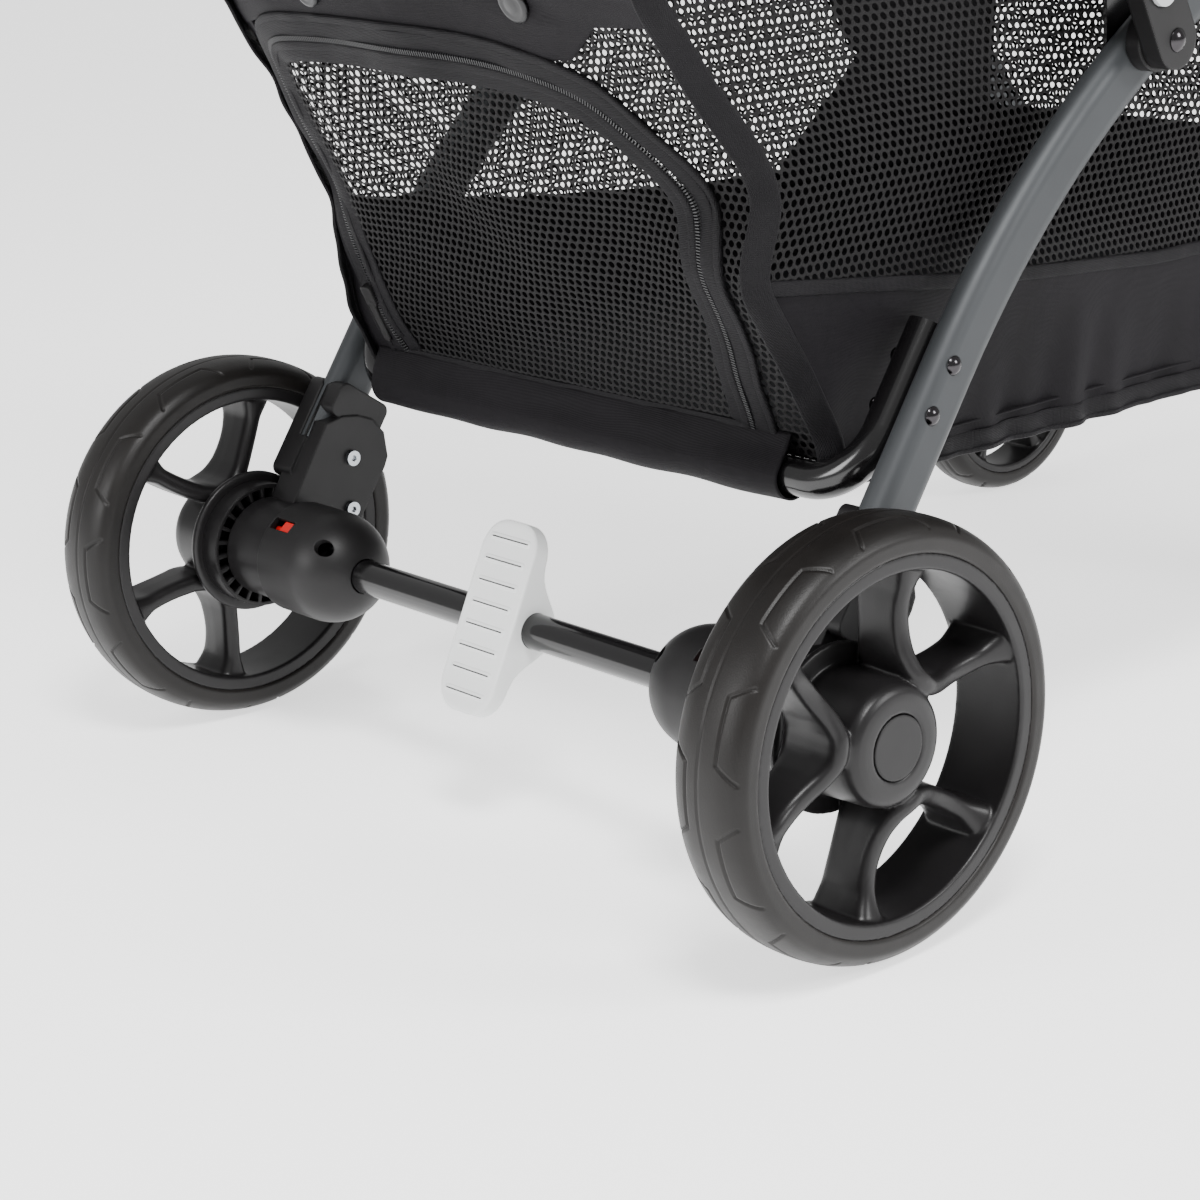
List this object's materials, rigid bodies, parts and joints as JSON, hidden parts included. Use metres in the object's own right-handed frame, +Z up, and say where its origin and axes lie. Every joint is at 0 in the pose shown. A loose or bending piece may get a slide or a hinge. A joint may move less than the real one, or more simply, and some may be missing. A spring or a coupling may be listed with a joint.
{
  "type": "pet stroller",
  "caption": "Folding pet stroller with a mesh cabin, swivelling front wheels, pedal brake, folding canopy and fold-down handle.",
  "frame": {"origin": "on the floor under the middle of the stroller's box", "axes": "+Z up, -Y towards the front, +X towards the stroller's left side"},
  "size_m": [0.531, 0.86, 0.9571],
  "materials": {
    "tyre": "grained satin rubber",
    "wheel_plastic": "satin moulding",
    "black_plastic": "satin moulding",
    "black_tube": "gloss black",
    "grey_tube": "satin dark grey",
    "zinc_steel": "zinc plated",
    "dark_chrome": "dark chrome",
    "fabric": "black polyester",
    "mesh_fabric": "black mesh",
    "foam": "foam",
    "board": "matt",
    "grey_plastic": "satin moulding"
  },
  "bodies": {
    "rear_frame": {"rear_leg_left": "grey_tube", "wheel_bracket_left": "black_plastic", "front_hinge_left": "black_plastic", "brake_dome_left": "black_plastic", "rear_leg_right": "grey_tube", "wheel_bracket_right": "black_plastic", "front_hinge_right": "black_plastic", "brake_dome_right": "black_plastic", "screws_and_nuts": "zinc_steel", "frame_rivets": "dark_chrome", "cabin_support_tube": "black_tube", "front_rail": "black_tube", "rear_axle": "zinc_steel", "fold_bosses": "black_plastic", "frame_pivot_pins": "dark_chrome", "cabin_shell": "fabric", "cabin_rim_wire": "black_tube", "base_board": "board", "canopy_posts": "black_tube", "canopy_pivots": "black_plastic", "canopy_rear_bow": "black_tube", "canopy_rear_cover": "fabric"},
    "handle_frame": {"handle_tube_left": "grey_tube", "handle_tube_right": "grey_tube", "handle_bar": "grey_tube", "handle_grip": "foam", "fold_fitting_left": "black_plastic", "fold_fitting_right": "black_plastic"},
    "button_left": {"fold_button_left": "grey_plastic"},
    "button_right": {"fold_button_right": "grey_plastic"},
    "front_frame": {"front_leg_left": "grey_tube", "front_leg_right": "grey_tube", "front_cross_tube": "black_tube", "caster_housing_left": "black_plastic", "caster_housing_right": "black_plastic"},
    "caster_left": {"caster_fork_left": "black_plastic", "caster_axle_left": "zinc_steel"},
    "front_wheel_left": {"front_rim_left": "wheel_plastic", "front_tyre_left": "tyre"},
    "rear_wheel_left": {"rear_rim_left": "wheel_plastic", "rear_tyre_left": "tyre", "hub_cap_left": "black_plastic", "brake_ring_left": "black_plastic"},
    "brake_slider_left": {"brake_pin_left": "zinc_steel"},
    "caster_right": {"caster_fork_right": "black_plastic", "caster_axle_right": "zinc_steel"},
    "front_wheel_right": {"front_rim_right": "wheel_plastic", "front_tyre_right": "tyre"},
    "rear_wheel_right": {"rear_rim_right": "wheel_plastic", "rear_tyre_right": "tyre", "hub_cap_right": "black_plastic", "brake_ring_right": "black_plastic"},
    "brake_slider_right": {"brake_pin_right": "zinc_steel"},
    "brake_rocker": {"brake_tube": "black_tube", "brake_pedal": "grey_plastic"},
    "door": {"rear_door": "mesh_fabric"},
    "zip": {"zip_slider": "black_plastic"},
    "canopy_middle": {"canopy_middle_cover": "fabric"},
    "canopy_front": {"canopy_front_cover": "fabric", "canopy_front_bow": "black_tube"}
  },
  "joints": [
    {"name": "handle_fold", "type": "hinge", "parent": "rear_frame", "child": "handle_frame", "pos_m": [0, 0.04599, 0.374], "axis": [1, 0, 0], "range_deg": [0, 120]},
    {"name": "front_fold", "type": "hinge", "parent": "rear_frame", "child": "front_frame", "pos_m": [0, -0.182, 0.45235], "axis": [1, 0, 0], "range_deg": [0, 60]},
    {"name": "button_press_left", "type": "slide", "parent": "handle_frame", "child": "button_left", "axis": [-1, 0, 0], "range_m": [0, 0.0015], "stiffness_N_per_m": 400},
    {"name": "caster_swivel_left", "type": "hinge", "parent": "front_frame", "child": "caster_left", "pos_m": [0.232, -0.38301, 0], "axis": [0, 0, 1], "continuous": true},
    {"name": "front_wheel_spin_left", "type": "hinge", "parent": "caster_left", "child": "front_wheel_left", "pos_m": [0.232, -0.35501, 0.075], "axis": [1, 0, 0], "continuous": true},
    {"name": "rear_wheel_spin_left", "type": "hinge", "parent": "rear_frame", "child": "rear_wheel_left", "pos_m": [0.2446, 0.27199, 0.1], "axis": [1, 0, 0], "continuous": true},
    {"name": "brake_pin_slide_left", "type": "slide", "parent": "rear_frame", "child": "brake_slider_left", "axis": [1, 0, 0], "range_m": [0, 0.006]},
    {"name": "button_press_right", "type": "slide", "parent": "handle_frame", "child": "button_right", "axis": [1, 0, 0], "range_m": [0, 0.0015], "stiffness_N_per_m": 400},
    {"name": "caster_swivel_right", "type": "hinge", "parent": "front_frame", "child": "caster_right", "pos_m": [-0.232, -0.38301, 0], "axis": [0, 0, 1], "continuous": true},
    {"name": "front_wheel_spin_right", "type": "hinge", "parent": "caster_right", "child": "front_wheel_right", "pos_m": [-0.232, -0.35501, 0.075], "axis": [1, 0, 0], "continuous": true},
    {"name": "rear_wheel_spin_right", "type": "hinge", "parent": "rear_frame", "child": "rear_wheel_right", "pos_m": [-0.2446, 0.27199, 0.1], "axis": [1, 0, 0], "continuous": true},
    {"name": "brake_pin_slide_right", "type": "slide", "parent": "rear_frame", "child": "brake_slider_right", "axis": [-1, 0, 0], "range_m": [0, 0.006]},
    {"name": "brake_rock", "type": "hinge", "parent": "rear_frame", "child": "brake_rocker", "pos_m": [0, 0.27199, 0.1], "axis": [1, 0, 0], "range_deg": [0, 20]},
    {"name": "door_open", "type": "hinge", "parent": "rear_frame", "child": "door", "pos_m": [0, 0.21931, 0.20986], "axis": [-1, 0, 0], "range_deg": [0, 85]},
    {"name": "zip_slide", "type": "slide", "parent": "rear_frame", "child": "zip", "axis": [0, 0.4095, 0.9123], "range_m": [0, 0.11]},
    {"name": "canopy_fold", "type": "hinge", "parent": "rear_frame", "child": "canopy_front", "pos_m": [0, 0.04599, 0.52], "axis": [-1, 0, 0], "range_deg": [0, 64]},
    {"name": "canopy_middle_fold", "type": "hinge", "parent": "rear_frame", "child": "canopy_middle", "pos_m": [0, 0.04599, 0.52], "axis": [-1, 0, 0], "range_deg": [0, 32]}
  ],
  "couplings": [
    {"joint": "front_fold", "follows": "handle_fold", "ratio": 0.5},
    {"joint": "canopy_middle_fold", "follows": "canopy_fold", "ratio": 0.5},
    {"joint": "brake_pin_slide_left", "follows": "brake_rock", "m_per_rad": 0.017189},
    {"joint": "brake_pin_slide_right", "follows": "brake_rock", "m_per_rad": 0.017189}
  ]
}
